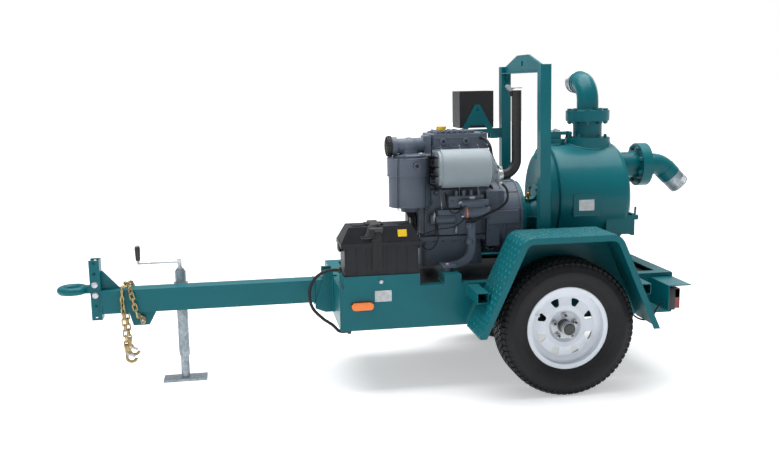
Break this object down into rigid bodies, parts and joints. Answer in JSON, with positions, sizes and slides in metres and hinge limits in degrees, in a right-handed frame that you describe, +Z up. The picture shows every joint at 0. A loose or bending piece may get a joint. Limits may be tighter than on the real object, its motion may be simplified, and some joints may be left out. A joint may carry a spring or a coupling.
{
  "type": "trailer-mounted fire pump",
  "caption": "Portable fire pump: diesel engine and self-priming pump on a single-axle trailer with towing eye, jack, fenders, lifting bail, battery box and hose nipples.",
  "frame": {"origin": "on the ground under the centre of the bounding box, halfway between the towing eye and the suction nipple and on the trailer centreline", "axes": "+X to the rear (suction end), -X to the towing eye, +Y to the far side (discharge mouth and control panel), +Z up"},
  "size_m": [3.428, 1.4, 1.694],
  "materials": {
    "teal_paint": "gloss industrial paint",
    "blue_grey_paint": "satin engine enamel",
    "muffler_grey": "heat-resistant matt paint",
    "black_steel": "satin black",
    "white_paint": "gloss white",
    "galvanised": "galvanised",
    "bright_steel": "machined and plated",
    "yellow_zinc": "yellow zinc plate",
    "cast_black": "black oxide",
    "tyre_rubber": "moulded rubber",
    "black_plastic": "grained",
    "grip_plastic": "moulded",
    "cable_jacket": "smooth jacket",
    "strap_webbing": "woven",
    "amber_lens": "moulded lens",
    "red_lens": "moulded lens",
    "yellow_plastic": "moulded",
    "flap_rubber": "moulded",
    "plate_metal": "satin"
  },
  "bodies": {
    "chassis": {"frame": "teal_paint", "tongue_tube": "teal_paint", "hitch_channel": "teal_paint", "lunette_eye": "teal_paint", "hex_bolts": "bright_steel", "safety_chains": "yellow_zinc", "jack_tube": "galvanised", "fuel_tank": "black_steel", "axle": "black_steel", "fenders": "teal_paint", "lifting_bail": "teal_paint", "tail_lamps": "red_lens", "marker_lamps": "amber_lens", "data_plates": "plate_metal", "battery_tray": "teal_paint", "battery_box": "black_plastic", "battery": "black_plastic", "cable_front": "cable_jacket", "engine_block": "blue_grey_paint", "oil_pan": "blue_grey_paint", "cylinder_head": "blue_grey_paint", "valve_cover": "blue_grey_paint", "bell_housing": "blue_grey_paint", "starter_motor": "blue_grey_paint", "air_filter": "blue_grey_paint", "intake_elbow": "blue_grey_paint", "muffler": "muffler_grey", "exhaust_pipe": "black_steel", "control_panel": "black_steel", "pump_casing": "teal_paint", "bearing_frame": "teal_paint", "discharge_elbow": "teal_paint", "suction_elbow": "teal_paint", "pipe_nipples": "galvanised"},
    "jack_leg": {"jack_leg": "galvanised"},
    "jack_crank": {"jack_crank": "bright_steel"},
    "jack_grip": {"jack_grip": "grip_plastic"},
    "hook_near": {"hook_near": "yellow_zinc"},
    "hook_far": {"hook_far": "yellow_zinc"},
    "latch_near": {"latch_near": "bright_steel"},
    "latch_far": {"latch_far": "bright_steel"},
    "fuel_cap": {"fuel_cap": "black_plastic"},
    "wheel_near": {"hub_near": "cast_black", "rim_near": "white_paint", "tyre_near": "tyre_rubber"},
    "wheel_far": {"hub_far": "cast_black", "rim_far": "white_paint", "tyre_far": "tyre_rubber"},
    "battery_cover": {"battery_lid": "black_plastic", "battery_strap": "strap_webbing"},
    "oil_cap": {"oil_cap": "yellow_plastic"},
    "rain_cap": {"rain_cap": "galvanised"},
    "drive_line": {"flywheel_shaft": "cast_black", "impeller_shaft": "bright_steel"},
    "fill_clamp": {"fill_clamp": "teal_paint"},
    "clamp_screw": {"clamp_screw": "bright_steel"},
    "rear_cover": {"rear_cover": "teal_paint"},
    "t_handle_near": {"t_handle_near": "teal_paint"},
    "t_handle_far": {"t_handle_far": "teal_paint"},
    "check_flap": {"check_flap": "flap_rubber"}
  },
  "joints": [
    {"name": "wheel_near_spin", "type": "hinge", "parent": "chassis", "child": "wheel_near", "pos_m": [0.807, -0.535, 0.344], "axis": [0, 1, 0], "continuous": true},
    {"name": "wheel_far_spin", "type": "hinge", "parent": "chassis", "child": "wheel_far", "pos_m": [0.807, 0.535, 0.344], "axis": [0, 1, 0], "continuous": true},
    {"name": "jack_crank_turn", "type": "hinge", "parent": "chassis", "child": "jack_crank", "pos_m": [-1.098, 0.0905, 0.62], "axis": [0, 0, 1], "range_deg": [-15000, 6000]},
    {"name": "jack_leg_travel", "type": "slide", "parent": "chassis", "child": "jack_leg", "axis": [0, 0, 1], "range_m": [-0.25, 0.1]},
    {"name": "jack_grip_spin", "type": "hinge", "parent": "jack_crank", "child": "jack_grip", "pos_m": [-1.312, 0.0905, 0.7], "axis": [0, 0, 1], "continuous": true},
    {"name": "hook_near_swing", "type": "hinge", "parent": "chassis", "child": "hook_near", "pos_m": [-1.377, -0.066, 0.2458], "axis": [0, 1, 0], "range_deg": [-30, 30]},
    {"name": "hook_far_swing", "type": "hinge", "parent": "chassis", "child": "hook_far", "pos_m": [-1.377, 0.066, 0.2458], "axis": [0, 1, 0], "range_deg": [-30, 30]},
    {"name": "latch_near_open", "type": "hinge", "parent": "hook_near", "child": "latch_near", "pos_m": [-1.38, -0.066, 0.2078], "axis": [0, 1, 0], "range_deg": [0, 20], "stiffness_Nm_per_rad": 0.1},
    {"name": "latch_far_open", "type": "hinge", "parent": "hook_far", "child": "latch_far", "pos_m": [-1.38, 0.066, 0.2078], "axis": [0, 1, 0], "range_deg": [0, 20], "stiffness_Nm_per_rad": 0.1},
    {"name": "fuel_cap_turn", "type": "hinge", "parent": "chassis", "child": "fuel_cap", "pos_m": [-0.073, 0.25, 0.56], "axis": [0, 0, 1], "range_deg": [0, 120]},
    {"name": "battery_cover_lift", "type": "slide", "parent": "chassis", "child": "battery_cover", "axis": [0, 0, 1], "range_m": [0, 0.05]},
    {"name": "oil_cap_turn", "type": "hinge", "parent": "chassis", "child": "oil_cap", "pos_m": [0.311, 0, 1.31], "axis": [0, 0, 1], "range_deg": [0, 90]},
    {"name": "rain_cap_flip", "type": "hinge", "parent": "chassis", "child": "rain_cap", "pos_m": [0.611, -0.28, 1.513], "axis": [0, 1, 0], "range_deg": [-80, 0]},
    {"name": "drive_line_turn", "type": "hinge", "parent": "chassis", "child": "drive_line", "pos_m": [0.547, 0, 0.83], "axis": [1, 0, 0], "continuous": true},
    {"name": "fill_clamp_lift", "type": "hinge", "parent": "chassis", "child": "fill_clamp", "pos_m": [1.023, 0, 1.27], "axis": [0, 1, 0], "range_deg": [0, 55]},
    {"name": "clamp_screw_turn", "type": "hinge", "parent": "fill_clamp", "child": "clamp_screw", "pos_m": [0.947, 0, 1.27], "axis": [0, 0, 1], "continuous": true},
    {"name": "rear_cover_draw", "type": "slide", "parent": "chassis", "child": "rear_cover", "axis": [1, 0, 0], "range_m": [0, 0.08]},
    {"name": "t_handle_near_turn", "type": "hinge", "parent": "rear_cover", "child": "t_handle_near", "pos_m": [1.317, -0.185, 0.818], "axis": [1, 0, 0], "continuous": true},
    {"name": "t_handle_far_turn", "type": "hinge", "parent": "rear_cover", "child": "t_handle_far", "pos_m": [1.317, 0.185, 0.818], "axis": [1, 0, 0], "continuous": true},
    {"name": "check_flap_swing", "type": "hinge", "parent": "chassis", "child": "check_flap", "pos_m": [1.26, 0, 1.1537], "axis": [0, 1, 0], "range_deg": [0, 50]}
  ],
  "couplings": [
    {"joint": "jack_leg_travel", "follows": "jack_crank_turn", "m_per_rad": 0.00095493}
  ]
}
